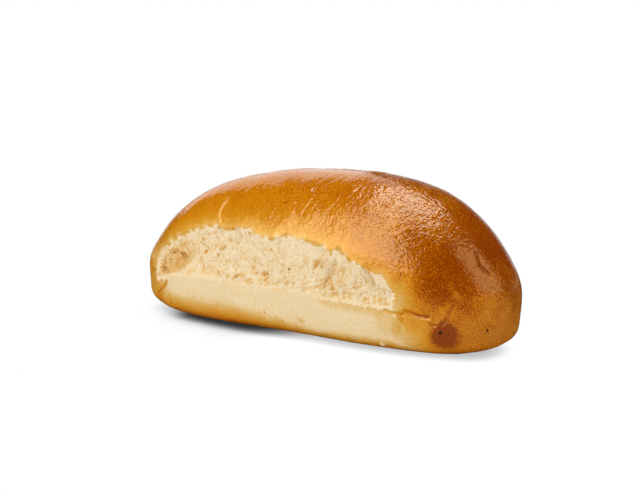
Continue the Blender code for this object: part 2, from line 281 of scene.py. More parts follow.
FAR_HOLLOW = (-52.0, 20.4)              # its middle, looking straight at the tear
HOLLOW_LEAN = (0.74, 0.67)              # the direction it runs in
HOLLOW_HALF = (11, 4.8)                 # half its length and half its width
HOLLOW_DEPTH = 0.4
LUMPS = 3.4                             # mm across the crumb's soft lumps
LUMP_HEIGHT = 0.32
LUMP_OCTAVES = (0.8, 2.1, 4)            # how fast finer octaves fade and shrink, and how many
GRIT = 1.1                              # and across its finer roughness
GRIT_HEIGHT = 0.20
GRIT_OCTAVES = (0.9, 2.0, 2)
GRIT_SHIFT = Vector((5, 5, 5))
THREAD_SIZE = (1.0, 2, 4.5)             # mm across a thread in x, y and z
THREAD_HEIGHT = 0.34
THREADED = (-4, 22)                     # threads come in between these places along the loaf
FIBRE_SIZE = (3.6, 3, 0.8)              # mm along, into and across a fibre
FIBRE_HEIGHT = 0.60
FIBRE_LEAN = (0.87, 0.5)                # cosine and sine of the fibres' lean
FIBRE_WAVE = 0.8                        # height of their waves
WAVE_LENGTH = 2.3                       # mm for each radian of a wave
FIBRE_BAND = (3.2, 2.8)                 # mm that it lies above the sill, and its half width
FIBRED = (-32, -20)
CALM_BAND = (1.5, 3.5)                  # the band at the sill where few cells tore open
CALM = 0.85
CELLS = [                               # spacing in mm, share of cells torn open, their depth
    (3.2, 0.26, 0.75),
    (1.8, 0.26, 0.45),
]
CELL_RADIUS = (0.42, 0.18)              # in spacings: the middling radius, and how much it varies
PICK, VARY = 7.31, 3.17                 # seeds that choose the torn-open cells and vary their radius
CELL_WARP = 1.1                         # mm between the warps that make cells uneven
WARP_REACH = 0.7
WARP_SEED = 5                           # without it, noise_vector differs from run to run
DRAWN_OUT = 0.4                         # how much the threads stretch the cells upright
PATCH_SIZE = 6.0                        # mm across the patches with more cells or fewer
PATCHINESS = 0.5
HOLLOW_CELLS = 0.6
CELL_DEPTH = (0.7, 0.2)                 # share of a cell's depth anywhere, and more in the hollow
# painted shade: the heights where it begins and is full, and how much low parts, open cells and the
# hollow get
UNSHADED_HEIGHT, SHADED_HEIGHT = 0.176, -0.624
LOW_SHADE, PIT_SHADE, HOLLOW_SHADE = 0.55, 0.22, 0.42
LOW_FADE, PIT_FADE = 0.4, 0.5           # how much less of the first two the hollow shows
GOUGES = [                              # deeper tears: points in mm, half width, depth
    ([(21.4, -26.6, 29.9), (20.4, -27.3, 26.3), (18.6, -27.8, 22.1)], 0.85, 0.7),
    ([(30.3, -26.5, 26.3), (29.7, -27.1, 22.2)], 0.50, 0.4),
    ([(32.7, -25.9, 28.2), (35.1, -26, 25.8), (36.3, -26, 23.2)], 0.50, 0.7),
    ([(28.3, -27.4, 18.9), (29.2, -27.3, 20.4)], 0.40, 0.5),
    ([(31.5, -27, 18.8), (32.4, -27, 20.2)], 0.40, 0.5),
    ([(-29.4, -25.6, 35.8), (-28.7, -25.6, 35.0)], 0.80, 0.9),
    ([(-20.9, -25.9, 35.7), (-19.8, -25.9, 34.7)], 0.95, 1.0),
    ([(23.2, -25.5, 34.0), (24.2, -25.7, 32.8)], 0.80, 0.8),
    ([(41.3, -25.7, 18.8), (41.1, -25.7, 19.4)], 0.60, 0.6),
    ([(40.3, -25.7, 21.8), (40.2, -25.7, 22.4)], 0.60, 0.6),
]
GOUGE_SHADE = 0.38
TEAR_EDGE = (0.1, 1.2)                  # mm inside the tear over which its relief comes in
SILL_EDGE = (0, 2.2)                    # and mm above the sill
SILL_RELIEF = 0.20                      # the share of it that is left right at the sill
SKIRT_TONE = 0.20
SKIRT_FADE = (-0.5, 2.5)                # mm above the sill
CRUMB_TONE = 0.07
FLUFF_PALE = 0.16
FLUFF_REACH = 3.0                       # mm down from the arch
FLUFF_ABOVE = (3, 8)                    # mm above the sill
FLUFFED = (-45, -25)                    # places along the loaf
SPONGY = (-0.5, 6.5)                    # mm above the sill over which the cells begin to show
SPONGY_STRAY = 4.0
SPONGY_SIZE = 5.0
FIBROUS_BAND = (1.8, 2.8)               # mm above the sill, and half width
FIBROUS_EDGE = (-1.5, 0.5)              # mm inside the tear
FIBROUS_ENDS = [(-40, -22), (34, 18)]   # places along the loaf

noise.seed_set(WARP_SEED)


def between(value, start, end):
    """0 at start, 1 at end, straight."""
    return min(max((value - start) / (end - start), 0.0), 1.0)


def in_sizes(x, y, z, sizes):
    """A place in units of a pattern's size along each axis."""
    return Vector((x / sizes[0], y / sizes[1], z / sizes[2]))


def opened(spot, spacing, share, seed):
    """How far inside a torn-open cell a spot lies, from 0 at its rim to 1 in its middle."""
    place = spot / spacing + Vector((seed, 0, 0))
    away, middles = noise.voronoi(place)
    if noise.cell(Vector(middles[0]) * PICK) > 2 * share - 1:
        return 0.0
    radius = CELL_RADIUS[0] + CELL_RADIUS[1] * noise.cell(Vector(middles[0]) * VARY)
    return max(0.0, 1 - (away[0] / radius) ** 2)


def hollow_at(spot):
    """1 in the middle of the far hollow, 0 well outside it."""
    dx, dz = spot.x - FAR_HOLLOW[0], spot.z - FAR_HOLLOW[1]
    along = dx * HOLLOW_LEAN[0] + dz * HOLLOW_LEAN[1]
    across = dz * HOLLOW_LEAN[0] - dx * HOLLOW_LEAN[1]
    return hump(along, HOLLOW_HALF[0], FLAT_TOPPED) * hump(across, HOLLOW_HALF[1], FLAT_TOPPED)


def crumb_texture(spot, side, above_sill):
    """Height of the torn crumb at a spot, and the shade painted there in its low parts, cells and hollow.
    """
    threads = between(spot.x, *THREADED)
    hollow = hollow_at(spot) if side < 0 else 0.0
    height = LUMP_HEIGHT * noise.fractal(spot / LUMPS, *LUMP_OCTAVES)
    height += GRIT_HEIGHT * noise.fractal(spot / GRIT + GRIT_SHIFT, *GRIT_OCTAVES)
    height += THREAD_HEIGHT * threads * noise.noise(in_sizes(spot.x, spot.y, spot.z, THREAD_SIZE))
    near_sill = hump(above_sill - FIBRE_BAND[0], FIBRE_BAND[1]) * between(spot.x, *FIBRED)
    wavy = spot.z + FIBRE_WAVE * math.sin(spot.x / WAVE_LENGTH)
    along = FIBRE_LEAN[0] * spot.x + FIBRE_LEAN[1] * wavy
    across = FIBRE_LEAN[0] * wavy - FIBRE_LEAN[1] * spot.x
    height += FIBRE_HEIGHT * near_sill * noise.noise(in_sizes(along, spot.y, across, FIBRE_SIZE))
    calm = CALM * hump(above_sill - CALM_BAND[0], CALM_BAND[1]) * (1 - hollow)
    warped = spot + noise.noise_vector(spot / CELL_WARP) * WARP_REACH
    warped.z *= 1 - DRAWN_OUT * threads
    pit_shade = 0.0
    for seed, (spacing, share, depth) in enumerate(CELLS):
        patch = PATCHINESS * noise.noise(spot / PATCH_SIZE + Vector((0, 7, seed)))
        inside = opened(warped, spacing, (share + patch + HOLLOW_CELLS * hollow) * (1 - calm), seed)
        height -= depth * inside * (CELL_DEPTH[0] + CELL_DEPTH[1] * hollow)
        pit_shade = max(pit_shade, inside)
    # Painted shade: darker where the crumb lies low, in its open cells and in the far hollow.
    low = between(height, UNSHADED_HEIGHT, SHADED_HEIGHT)
    painted_shade = LOW_SHADE * low * (1 - LOW_FADE * hollow)
    painted_shade += PIT_SHADE * pit_shade * (1 - PIT_FADE * hollow) + HOLLOW_SHADE * hollow
    return height - HOLLOW_DEPTH * hollow, min(painted_shade, 1)


x_of, y_of, z_of = spots[:, 0].copy(), spots[:, 1].copy(), spots[:, 2].copy()
rise = np.zeros(count)
# The crumb's tone, with the shade painted into its low parts, cells, hollow and gouges.
tone_and_shade = np.zeros(count)
above_sill = np.array([z - sill(x + LOAF_SHIFT, -1 if y < 0 else 1) for x, y, z in spots])
crumb_share = smooth(torn, *TEAR_EDGE)
relief_share = crumb_share * (SILL_RELIEF + (1 - SILL_RELIEF) * smooth(above_sill, *SILL_EDGE))
for index in np.nonzero(torn > 0)[0]:
    spot = Vector(spots[index])
    height, pit_shade = crumb_texture(spot, -1 if spot.y < 0 else 1, above_sill[index])
    rise[index] = height * relief_share[index]
    tone_and_shade[index] = pit_shade * crumb_share[index]
face_on = np.array([1, 0, 1])           # gouges are placed looking straight at the torn face
# Gouges are cut deeper, with shade painted down in them.
for line, half_width, depth in GOUGES:
    away = distance_to_line(spots * face_on, np.array(line) * face_on)
    near = hump(away, half_width) * (torn > -1) * (y_of < 0)
    rise -= depth * near
    tone_and_shade = np.maximum(tone_and_shade, GOUGE_SHADE * near)

# It is palest in the fluff under the arch, and fades into the skirt's own colour at the sill.
fluff = hump(torn, FLUFF_REACH) * smooth(above_sill, *FLUFF_ABOVE) * smooth(x_of, *FLUFFED)
from_skirt = smooth(above_sill, *SKIRT_FADE)
tone_and_shade = SKIRT_TONE * (1 - from_skirt) + from_skirt * (CRUMB_TONE + tone_and_shade - FLUFF_PALE * fluff)
patchy = np.array([noise.noise(Vector(spot) / SPONGY_SIZE) for spot in spots])
sponginess = smooth(above_sill + SPONGY_STRAY * patchy, *SPONGY)
fibrous = hump(above_sill - FIBROUS_BAND[0], FIBROUS_BAND[1]) * smooth(torn, *FIBROUS_EDGE)
for start, end in FIBROUS_ENDS:
    fibrous *= smooth(x_of, start, end)

# The baked skin: pulled tight by the oven, with grooves over the top of the dome, patches drawn up
# into wrinkles, patches of dented leather, the creases, and a flake stuck on where the loaves parted.

BELT = (15, 35)                         # grooves and folds come in between these heights
GROOVE_LEAN = 0.45
GROOVE_SIZE = (1.9, 11, 16)             # mm across a groove, and along it in y and z
GROOVE_WIDTH = 0.20
GROOVE_DEPTH = (0.03, 0.32)             # on the sides, and how much more on top
ON_TOP = (0.5, 0.75)                    # how far the skin faces up where it counts as the top
GROOVES_END = (34, 24)                  # the top's grooves stop short of the near end
FOLD_SCALE = 0.45
FOLD_SHIFT = Vector((9, 3, 1))
FOLD_HEIGHT = 0.06
PATCH_OF_GROOVES = 17
GROOVED = (-0.55, 0.45)
LEATHER = 1.6                           # mm across the leathery skin's fine relief
LEATHER_HEIGHT = 0.045
LEATHER_OCTAVES = (0.8, 2.0, 2)
DENT_SIZE = (3.4, 2.2, 2.2)
DENT_HEIGHT = 0.07
DENT_OCTAVES = (0.9, 2.0, 2)
SHOULDER = (2, 0.18)                    # half widths from a crease to its shoulders, and their share
DARK_HALO = 1.2                         # half widths that its colour reaches
FLAKE = (40.0, -25.2, 3.6)
FLAKE_RADIUS = 1.0
FLAKE_HEIGHT = 0.8
SKIN_BEGINS = 0.6                       # mm inside the tear
BELT_BULGE = (0.9, 22, 8)               # its height, and its middle and half width up the end
BELT_BULGED = (60, 73)                  # places along the loaf
SHOULDER_BULGES = [                     # height, middle and half width along, and facing up from
    (0.5, 46, 14, 0.55, 0.9),
    (0.7, -40, 16, 0.40, 0.85),
]


def patches(base, places):
    """A base amount everywhere, and more round each centre within its radius in mm."""
    amount = np.full(count, base)
    for centre, radius, more in places:
        amount += more * hump(np.linalg.norm(spots - centre, axis=1), radius)
    return amount


drawn_up = patches(0.06, [
    ((19, -23, 41), 6, 1.0),
    ((28, -21, 44), 7, 0.8),
    ((50, -21, 32), 6, 0.3),
    ((-2, 14, 50), 14, 0.4),
])
leathery = patches(0.22, [
    ((44, -10, 49), 13, 1.0),
    ((34, -18, 46), 7, 0.3),
    ((58, -14, 38), 6, 0.35),
    ((72, -6, 26), 8, 0.5),
    ((-30, 15, 46), 15, 0.6),
    ((20, 20, 44), 12, 0.6),
])

for index in np.nonzero(torn <= SKIN_BEGINS)[0]:
    spot = Vector(spots[index])
    across = in_sizes(spot.x - GROOVE_LEAN * spot.z, spot.y, spot.z, GROOVE_SIZE)
    groove = max(0.0, 1 - abs(noise.noise(across)) / GROOVE_WIDTH) ** 2
    fold = noise.noise(across * FOLD_SCALE + FOLD_SHIFT)
    on_top = between(outward[index][2], *ON_TOP) * between(spot.x, *GROOVES_END)
    where = between(spot.z, *BELT) * between(noise.noise(spot / PATCH_OF_GROOVES), *GROOVED)
    leather = noise.fractal(spot / LEATHER, *LEATHER_OCTAVES)
    dents = noise.fractal(in_sizes(spot.x, spot.y, spot.z, DENT_SIZE), *DENT_OCTAVES)
    skin = where * (FOLD_HEIGHT * fold - (GROOVE_DEPTH[0] + GROOVE_DEPTH[1] * on_top) * groove)
    skin += LEATHER_HEIGHT * leather + DENT_HEIGHT * leathery[index] * dents
    rise[index] += skin * (1 - crumb_share[index])

scorch_and_crease_shade = np.zeros(count)
# Each crease is cut in, with painted shade down it or a painted highlight on its raised lip; the scorched
# places are added to the same sum.
for line, half_width, depth, darker in CREASES:
    away = distance_to_line(spots, on_loaf(line)) / half_width
    rise -= depth * (hump(away, 1) - SHOULDER[1] * hump(away - SHOULDER[0], 1))
    scorch_and_crease_shade += darker * hump(away, DARK_HALO)
flake = hump(np.linalg.norm(spots - on_loaf([FLAKE]), axis=1), FLAKE_RADIUS, FLAT_TOPPED)
rise += FLAKE_HEIGHT * flake

# The near end bulges a little at belt height, and both shoulders stand a little prouder.
bulge = BELT_BULGE[0] * hump(z_of - BELT_BULGE[1], BELT_BULGE[2]) * smooth(x_of, *BELT_BULGED)
for height, middle, half_width, start, end in SHOULDER_BULGES:
    bulge += height * hump(x_of - middle, half_width) * smooth(outward[:, 2], start, end)
spots += outward * (rise + bulge)[:, None]
spots[:, 2] = np.maximum(spots[:, 2], 0)
loaf.data.vertices.foreach_set("co", (spots * MM).ravel())
loaf.data.update()

# The oven's browning: 0 is pale skin, 1 the darkest crust. The creases' painted shade and
# highlight, and a painted contact shadow along the very foot, are added to it. It is kept on the
# mesh for the materials, with the egg wash that was brushed over the top: the skirt and the feet
# stayed matt.

SCORCHED = [                            # places baked darker: centre, radius in mm, how much
    ((60.7, -20.5, 9.2), 4.5, 0.58),
    ((55.0, -22.6, 21.5), 6.5, 0.17),
    ((61.5, -20.0, 17.5), 3.0, -0.10),
    ((69.0, -14.0, 19.0), 5.0, -0.06),
    ((66.4, -14, 34), 9.0, 0.10),
    ((-68.5, -20, 19), 3.0, 0.12),
    ((9.4, -28.6, 8.7), 1.0, 0.10),
    ((10.6, -28.6, 8.2), 0.9, 0.10),
    ((50.5, -23.5, 7.0), 5.0, -0.14),
    ((42.5, -25.6, 12.5), 5.0, 0.09),
    ((-62.0, -23.0, 10.0), 6.5, 0.26),
    ((49.5, -24.0, 13.0), 4.0, 0.12),
    ((-5.5, -29.0, 9.3), 0.5, 0.25),
    ((1.8, -28.6, 7.1), 0.5, 0.20),
]
DRIFT_SIZE = 4.5                        # mm across the unevenness of the browning's edges
DRIFT_STRAY = 1.2
DRIFT_FROM = 0.3                        # mm from the join
CLOUD_SIZE = 11                         # mm across the clouds in it
CLOUD_OCTAVES = (0.8, 2.0, 3)
CLOUD_STRAY = 6
MIDDLE_BAKE = 0.70                      # how brown the dome gets, and more towards the near end
NEAR_BAKE = (0.23, 8, 48)
END_BAKE = (0.12, 45, 70)
LOW_BAKE = -0.37                        # less low on the ends, where browning also comes in slower
LOW_HEIGHT = (12, 31)
LOW_ENDS = (25, 50)                     # mm from the middle of the loaf
BROWNING_REACH = (3.6, 3.5)             # mm from the join
BROWNING_POWER = (0.75, 0.6)
FOOT_BAKE = 0.88                        # the foot browned against the tray
FOOT_HEIGHT = (12.5, -5.0, -20, 20)     # how far up, and how that changes along the loaf
FOOT_POWER = 1.1
FOOT_ON_CRUST = 0.8
FOOT_FROM = -0.5
TRAY_BAKE_AND_SHADOW = 0.60                        # and the last millimetres most of all, darker still with a painted contact shadow
TRAY_HEIGHT = (0, 4)
TRAY_EDGE = (0, 6)                      # mm from the join
MOST_BAKE = 1.2
WASH_EDGE = (1.0, 6.5)                  # mm from the join over which the wash begins to shine
WASH_HEIGHT = (6, 16)
WASH_MISSED = 0.9                       # how much of it is missing low on the ends

drift = np.array([noise.noise(Vector(spot) / DRIFT_SIZE) for spot in spots])
cloud = np.array([noise.fractal(Vector(spot) / CLOUD_SIZE, *CLOUD_OCTAVES) for spot in spots])
x_of, z_of = spots[:, 0], spots[:, 2]
low_end = (1 - smooth(z_of + CLOUD_STRAY * cloud, *LOW_HEIGHT)) * smooth(np.abs(x_of), *LOW_ENDS)
full_bake = MIDDLE_BAKE + LOW_BAKE * low_end
for more, start, end in (NEAR_BAKE, END_BAKE):
    full_bake += more * smooth(x_of, start, end)
from_edge = np.maximum(from_join + DRIFT_STRAY * drift * (from_join > DRIFT_FROM), 0)
reach = BROWNING_REACH[0] + BROWNING_REACH[1] * low_end
power = BROWNING_POWER[0] + BROWNING_POWER[1] * low_end
bake_and_shade = full_bake * (1 - hump(from_edge, reach, power))
foot_height = FOOT_HEIGHT[0] + FOOT_HEIGHT[1] * smooth(x_of, *FOOT_HEIGHT[2:]) + drift
foot = FOOT_BAKE * (1 - smooth(z_of, FOOT_FROM, foot_height)) ** FOOT_POWER
bake_and_shade = np.maximum(bake_and_shade, foot * np.where(from_join <= 0, 1, FOOT_ON_CRUST))
# The last millimetres above the table: browning and painted contact shadow together.
bake_and_shade += TRAY_BAKE_AND_SHADOW * (1 - smooth(z_of, *TRAY_HEIGHT)) * smooth(from_join, *TRAY_EDGE)
for centre, radius, darker in SCORCHED:
    away = np.linalg.norm(spots - on_loaf([centre]), axis=1)
    scorch_and_crease_shade += darker * hump(away, radius, FLAT_TOPPED)
bake_and_shade = np.clip(bake_and_shade + scorch_and_crease_shade, 0, MOST_BAKE) * (1 - flake)
glazed = smooth(from_join, *WASH_EDGE) * (1 - WASH_MISSED * low_end) * smooth(z_of, *WASH_HEIGHT)

for name, values in {
    "bake_and_shade": bake_and_shade,
    "spongy": sponginess,
    "pit_shade": tone_and_shade,
    "drawn_up": drawn_up,
    "leathery": leathery,
    "glazed": glazed,
    "fibrous": fibrous,
}.items():
    kept = loaf.data.attributes.new(name, "FLOAT", "POINT")
    kept.data.foreach_set("value", values.astype(np.float32))

# The tone that both the crust and the crumb have: soft mottling, a fine grain, and the black
# specks of burnt flour. It is one node group, placed in each material with its own sizes.

SPECKS = [                              # centre and radius in mm
    ((59.4, -21.0, 10.3), 0.62),
    ((71.7, -12.5, 11.1), 0.45),
    ((70.6, -13.2, 6.5), 0.28),
    ((46.3, -23.6, 28.2), 0.30),
    ((73.0, -0.9, 26.6), 0.28),
    ((-2.9, -20.1, 47.1), 0.30),
    ((3.2, -28.0, 25.9), 0.38),
    ((-31.0, 26.5, 30.0), 0.34),
    ((22.0, 14.0, 52.0), 0.30),
]
SPECK_EDGE = (1.2, 0.7)                 # in radii: where a speck begins, and where it is full
BURNT = (0.03, 0.015, 0.008, 1)


def feed(tree, node, inputs):
    """Links a node's inputs to sockets, or sets them to plain values."""
    for name, value in inputs.items():
        if isinstance(value, bpy.types.NodeSocket):
            tree.links.new(value, node.inputs[name])
        else:
            node.inputs[name].default_value = value


def add(tree, kind, inputs, **settings):
    """Adds a node with its settings and inputs."""
    node = tree.nodes.new(kind)
    for name, value in settings.items():
        setattr(node, name, value)
    feed(tree, node, inputs)
    return node


def calc(tree, operation, *values, clamped=False):
    """One sum on sockets and plain numbers."""
    node = add(tree, "ShaderNodeMath", dict(enumerate(values)), operation=operation, use_clamp=clamped)
    return node.outputs[0]


def spread(tree, value, start, end, first=0.0, last=1.0, kind="LINEAR"):
    """Spreads a value's range from start to end over first to last, and no further."""
    inputs = {"Value": value, "From Min": start, "From Max": end, "To Min": first, "To Max": last}
    return add(tree, "ShaderNodeMapRange", inputs, interpolation_type=kind).outputs["Result"]


def object_place(tree):
    return add(tree, "ShaderNodeTexCoord", {}).outputs["Object"]


mottled = bpy.data.node_groups.new("bread mottling", "ShaderNodeTree")
mottled.interface.new_socket("Place", in_out="INPUT", socket_type="NodeSocketVector")
for name in ("Mottle Scale", "Mottle", "Grain Scale", "Grain"):
    mottled.interface.new_socket(name, in_out="INPUT", socket_type="NodeSocketFloat")
for name in ("Tone", "Speck"):
    mottled.interface.new_socket(name, in_out="OUTPUT", socket_type="NodeSocketFloat")
given = mottled.nodes.new("NodeGroupInput").outputs
layers = []
for kind in ("Mottle", "Grain"):
    soft = add(mottled, "ShaderNodeTexNoise", {
        "Vector": given["Place"], "Scale": given[kind + " Scale"], "Detail": 3,
    })
    centred = calc(mottled, "SUBTRACT", soft.outputs["Fac"], 0.5)
    layers.append(calc(mottled, "MULTIPLY", centred, given[kind]))
speck = None
for centre, radius in SPECKS:
    middle = Vector(on_loaf([centre])[0]) * MM
    away = add(mottled, "ShaderNodeVectorMath", {0: given["Place"], 1: middle}, operation="DISTANCE")
    edges = [share * radius * MM for share in SPECK_EDGE]
    mask = spread(mottled, away.outputs["Value"], *edges)
    speck = calc(mottled, "MAXIMUM", speck, mask) if speck else mask
put_out = mottled.nodes.new("NodeGroupOutput")
feed(mottled, put_out, {"Tone": calc(mottled, "ADD", *layers), "Speck": speck})


def mottling(tree, place, mottle_size, mottle, grain_size, grain_amount):
    """The shared mottling, with its sizes in metres."""
    node = add(tree, "ShaderNodeGroup", {
        "Place": place,
        "Mottle Scale": 1 / mottle_size,
        "Mottle": mottle,
        "Grain Scale": 1 / grain_size,
        "Grain": grain_amount,
    }, node_tree=mottled)
    return node.outputs["Tone"], node.outputs["Speck"]


# The crust: skin brushed with egg wash, which baked from cream through gold to deep brown. It is
# glossy where the wash lay thick, drawn into wrinkles, and finely crinkled where it is leathery.

CRUST_COLOURS = [                       # how brown, with painted shade and highlight, and the colour there
    (0.00, (0.82, 0.675, 0.44)),
    (0.12, (0.75, 0.52, 0.22)),
    (0.25, (0.67, 0.375, 0.075)),
    (0.42, (0.645, 0.297, 0.018)),
    (0.62, (0.61, 0.212, 0.001)),
    (0.82, (0.46, 0.115, 0.000)),
    (1.00, (0.25, 0.040, 0.000)),
]
CRUST_MOTTLING = (8 * MM, 0.25, 0.36 * MM, 1.45)
WRINKLE_SIZE = 1.6 * MM
WRINKLE_TURN = (0, math.radians(-32), 0)
WRINKLE_STRETCH = (1.0, 0.40, 0.40)
CRINKLE_SIZE = 1.10 * MM
CRINKLE_STRETCH = (0.6, 1.0, 1.0)
FINE_GRAIN = 0.34 * MM
MATT, GLOSSY = 0.30, 0.10
WASH_TINT = (1.0, 0.92, 0.66, 1)
CRUST_RELIEF = 0.13 * MM


def material(name):
    """A new material, its node tree and its shader."""
    made = bpy.data.materials.new(name)
    made.use_nodes = True
    return made, made.node_tree, made.node_tree.nodes["Principled BSDF"]


def ramp(tree, value, stops, speck):
    """A colour for each value, with the burnt specks mixed over it."""
    node = add(tree, "ShaderNodeValToRGB", {"Fac": value})
    elements = node.color_ramp.elements
    elements[0].position, elements[0].color = stops[0][0], (*stops[0][1], 1)
    elements[1].position, elements[1].color = stops[-1][0], (*stops[-1][1], 1)
    for place, colour in stops[1:-1]:
        elements.new(place).color = (*colour, 1)
    specked = {"Factor": speck, "A": node.outputs["Color"], "B": BURNT}
    return add(tree, "ShaderNodeMix", specked, data_type="RGBA").outputs["Result"]


def attribute(tree, name):
    return add(tree, "ShaderNodeAttribute", {}, attribute_name=name).outputs["Fac"]


def masked(tree, name, value):
    """A value scaled by one of the loaf's attributes."""
    return calc(tree, "MULTIPLY", attribute(tree, name), value)


def grain(tree, place, size, detail=1, roughness=0.5, distortion=0.0):
    """Noise of a given size in metres over the object."""
    inputs = {
        "Vector": place, "Scale": 1 / size, "Detail": detail, "Roughness": roughness,
        "Distortion": distortion,
    }
    return add(tree, "ShaderNodeTexNoise", inputs).outputs["Fac"]


def valleys(tree, soft):
    """Turns soft noise into ridges with sharp valleys: 0 in a valley, about 1 on a ridge."""
    return calc(tree, "ABSOLUTE", calc(tree, "MULTIPLY_ADD", soft, 4.0, -2.0), clamped=True)


def sum_of(tree, *terms):
    """Adds (socket, gain, offset) terms together."""
    total = None
    for term in terms:
        step = calc(tree, "MULTIPLY_ADD", *term)
        total = calc(tree, "ADD", total, step) if total else step
    return total


def normal(tree, height, depth):
    """A bump that is as deep, in metres, as its height is 1."""
    return add(tree, "ShaderNodeBump", {"Height": height, "Distance": depth}).outputs["Normal"]


crust, tree, shader = material("egg washed crust")
place = object_place(tree)
leaning = add(tree, "ShaderNodeMapping", {
    "Vector": place, "Rotation": WRINKLE_TURN, "Scale": WRINKLE_STRETCH,
}).outputs["Vector"]
drawn = grain(tree, leaning, WRINKLE_SIZE, distortion=0.7)
wrinkles = masked(tree, "drawn_up", valleys(tree, drawn))
stretched = add(tree, "ShaderNodeMapping", {"Vector": place, "Scale": CRINKLE_STRETCH})
crinkled = grain(tree, stretched.outputs["Vector"], CRINKLE_SIZE, distortion=0.5)
crinkles = masked(tree, "leathery", crinkled)
tone, speck = mottling(tree, place, *CRUST_MOTTLING)
# The browning, with painted shade where the wrinkles and crinkles dip and painted light on their ridges.
browning_and_shade = sum_of(
    tree,
    (attribute(tree, "bake_and_shade"), 1.0, 0.0),
    (masked(tree, "bake_and_shade", tone), 1.0, 0.0),
    (tone, 0.22, 0.0),
    (wrinkles, -0.08, 0.02),
    (crinkles, -0.30, 0.06),
)
skin = sum_of(
    tree,
    (wrinkles, 0.8, 0.0),
    (crinkles, 3.2, 0.0),
    (grain(tree, place, FINE_GRAIN), 0.15, 0.0),
)
feed(tree, shader, {
    "Base Color": ramp(tree, browning_and_shade, CRUST_COLOURS, speck),
    "Specular IOR Level": 0.5,
    "Specular Tint": WASH_TINT,
    "Roughness": spread(tree, attribute(tree, "glazed"), 0, 1, MATT, GLOSSY),
    "Normal": normal(tree, skin, CRUST_RELIEF),
})
loaf.data.materials.append(crust)

# The crumb's material: cream, soft and dull, with shade painted down in its pinholes and between
# its threads and fibres, and light painted on the fibres' ridges. It meets the crust in a ragged
# edge along the tear.

CRUMB_COLOURS = [                       # how dark its tone and painted shade make it, and the colour there
    (0.00, (0.87, 0.72, 0.49)),
    (0.20, (0.825, 0.65, 0.40)),
    (0.38, (0.78, 0.53, 0.22)),
    (0.68, (0.70, 0.38, 0.10)),
    (1.00, (0.50, 0.22, 0.04)),
]
CRUMB_MOTTLING = (4 * MM, 0.35, 0.38 * MM, 1.60)
SPONGE_SIZE = 0.75 * MM
PINHOLE_SIZE = 0.8 * MM
PINHOLES = (0.58, 0.70)
TANGLE_SIZE = 1.3 * MM
COMBED_SIZE = 1.1 * MM
COMBED_TURN = (0, math.radians(-30), 0)
COMBED_STRETCH = (4.0, 2.5, 1.0)
CRUMB_RELIEF = 0.45 * MM
RAGGED_SIZE = 1.3 * MM
RAGGED_EDGE = (-0.2, 1.2)               # mm inside the tear, and how far it strays

crumb, tree, shader = material("torn white crumb")
place = object_place(tree)
tone, speck = mottling(tree, place, *CRUMB_MOTTLING)
sponge = grain(tree, place, SPONGE_SIZE, 4, 0.65)
combed = add(tree, "ShaderNodeMapping", {
    "Vector": place, "Rotation": COMBED_TURN, "Scale": COMBED_STRETCH,
}, vector_type="TEXTURE").outputs["Vector"]
fibres = valleys(tree, grain(tree, combed, COMBED_SIZE, distortion=0.5))
cell_shade_and_tone = sum_of(
    tree,
    (tone, 1.0, 0.0),
    (spread(tree, grain(tree, place, PINHOLE_SIZE), *PINHOLES), 0.26, 0.0),
    (valleys(tree, grain(tree, place, TANGLE_SIZE, distortion=1.2)), 0.22, -0.10),
    (sponge, -0.7, 0.35),
)
# Its tone, with painted shade in the pits and cells and between the fibres.
crumb_tone_and_shade = sum_of(
    tree,
    (attribute(tree, "pit_shade"), 1.0, 0.0),
    (masked(tree, "spongy", cell_shade_and_tone), 1.0, 0.0),
    (tone, 0.35, 0.0),
    (masked(tree, "fibrous", sum_of(tree, (fibres, -0.32, 0.16))), 1.0, 0.0),
)
relief = sum_of(
    tree,
    (masked(tree, "spongy", sponge), 1.0, 0.0),
    (masked(tree, "fibrous", fibres), 0.5, 0.0),
)
feed(tree, shader, {
    "Base Color": ramp(tree, crumb_tone_and_shade, CRUMB_COLOURS, speck),
    "Roughness": 0.85,
    "Specular IOR Level": 0.2,
    "Normal": normal(tree, relief, CRUMB_RELIEF),
})
loaf.data.materials.append(crumb)
for face in loaf.data.polygons:
    inside = sum(torn[v] for v in face.vertices) / len(face.vertices)
    ragged = noise.noise(face.center / RAGGED_SIZE)
    face.material_index = 1 if inside > RAGGED_EDGE[0] + RAGGED_EDGE[1] * ragged else 0

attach(loaf, "root")
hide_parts("bun")

# The matt white table that the bun stands on. The crust's gloss hardly mirrors it, and the camera
# sees it as a clean white sheet, with only the bun's contact shadow on it.

FLOOR_SIZE = 30
WHITE, MIRRORED_WHITE = 0.92, 0.02
GLOW = (0.25, 0.90, 0.08, 0.80)         # near and far distance from the bun, and the light there
FRONT = (-0.8, 0.6, 0)                  # the way the camera looks, over the table
DIMMED = (0.30, 0.10)                   # the mirrored table is dark up to here
DIM_BY = -0.80
SHADOW_REACH = 35 * MM
SHADOW_SAMPLES = 16
DEEPEST = 0.025                         # how bright the deepest shadow is
FAR_FOOT = (-66 * MM, -48 * MM)         # places along the loaf where the shadow changes
MIDDLE_FOOT = (-22 * MM, 10 * MM)
NEAR_FOOT = (55 * MM, 72 * MM)
DEEP_AT = (-0.60, 0.03, -0.30)          # far, middle and near: how open the deepest shadow is
GONE_AT = (0.74, 0.33, 0.52)            # and where the shadow is gone

